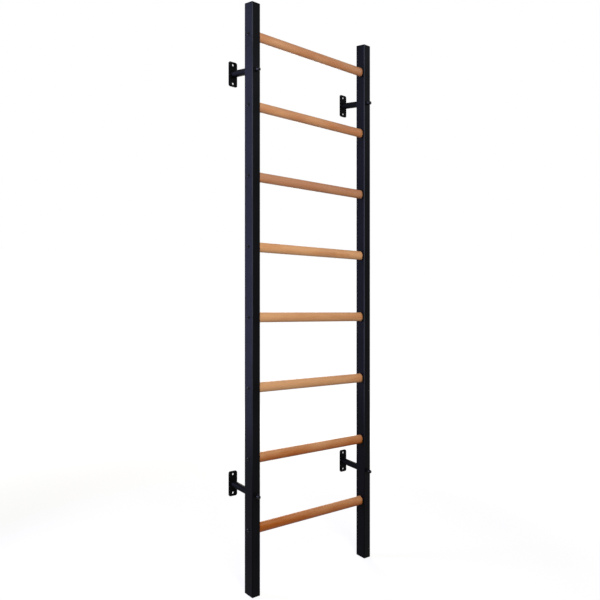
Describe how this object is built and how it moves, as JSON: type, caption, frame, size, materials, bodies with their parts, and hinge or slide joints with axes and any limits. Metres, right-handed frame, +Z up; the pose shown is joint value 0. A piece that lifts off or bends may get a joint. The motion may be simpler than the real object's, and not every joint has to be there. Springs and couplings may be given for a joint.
{
  "type": "wall bars",
  "caption": "Climbing frame for a wall: oval wooden rungs between two upright steel box tubes, held off the wall by bracket plates on round standoffs.",
  "frame": {"origin": "on the wall plane, at floor level under the uprights, midway between the two uprights", "axes": "+X along the rungs to the right of a person facing the wall, +Y into the wall, +Z up"},
  "size_m": [0.6788, 0.1775, 2.3],
  "materials": {
    "upright_paint": "satin black powder coat",
    "bracket_paint": "satin black powder coat",
    "rung_beech": "clear-lacquered beech",
    "cap_plastic": "matt moulded black plastic",
    "fastener_black": "blackened steel",
    "insert_zinc": "zinc-plated steel"
  },
  "bodies": {
    "root": {"left_upright": "upright_paint", "right_upright": "upright_paint", "rung_1": "rung_beech", "rung_2": "rung_beech", "rung_3": "rung_beech", "rung_4": "rung_beech", "rung_5": "rung_beech", "rung_6": "rung_beech", "rung_7": "rung_beech", "rung_8": "rung_beech", "top_cap_left": "cap_plastic", "top_cap_right": "cap_plastic", "bottom_cap_left": "cap_plastic", "bottom_cap_right": "cap_plastic", "wall_bracket_upper_left": "bracket_paint", "wall_bracket_upper_right": "bracket_paint", "wall_bracket_lower_left": "bracket_paint", "wall_bracket_lower_right": "bracket_paint", "bracket_washer_upper_left": "fastener_black", "dome_nut_upper_left": "fastener_black", "bracket_washer_upper_right": "fastener_black", "dome_nut_upper_right": "fastener_black", "bracket_washer_lower_left": "fastener_black", "dome_nut_lower_left": "fastener_black", "bracket_washer_lower_right": "fastener_black", "dome_nut_lower_right": "fastener_black", "rung_bolt_left_1": "fastener_black", "threaded_insert_left_1": "insert_zinc", "rung_bolt_left_2": "fastener_black", "threaded_insert_left_2": "insert_zinc", "rung_bolt_left_3": "fastener_black", "threaded_insert_left_3": "insert_zinc", "rung_bolt_left_4": "fastener_black", "threaded_insert_left_4": "insert_zinc", "rung_bolt_left_5": "fastener_black", "threaded_insert_left_5": "insert_zinc", "rung_bolt_left_6": "fastener_black", "threaded_insert_left_6": "insert_zinc", "rung_bolt_left_7": "fastener_black", "threaded_insert_left_7": "insert_zinc", "rung_bolt_left_8": "fastener_black", "threaded_insert_left_8": "insert_zinc", "rung_bolt_right_1": "fastener_black", "threaded_insert_right_1": "insert_zinc", "rung_bolt_right_2": "fastener_black", "threaded_insert_right_2": "insert_zinc", "rung_bolt_right_3": "fastener_black", "threaded_insert_right_3": "insert_zinc", "rung_bolt_right_4": "fastener_black", "threaded_insert_right_4": "insert_zinc", "rung_bolt_right_5": "fastener_black", "threaded_insert_right_5": "insert_zinc", "rung_bolt_right_6": "fastener_black", "threaded_insert_right_6": "insert_zinc", "rung_bolt_right_7": "fastener_black", "threaded_insert_right_7": "insert_zinc", "rung_bolt_right_8": "fastener_black", "threaded_insert_right_8": "insert_zinc"}
  },
  "joints": []
}
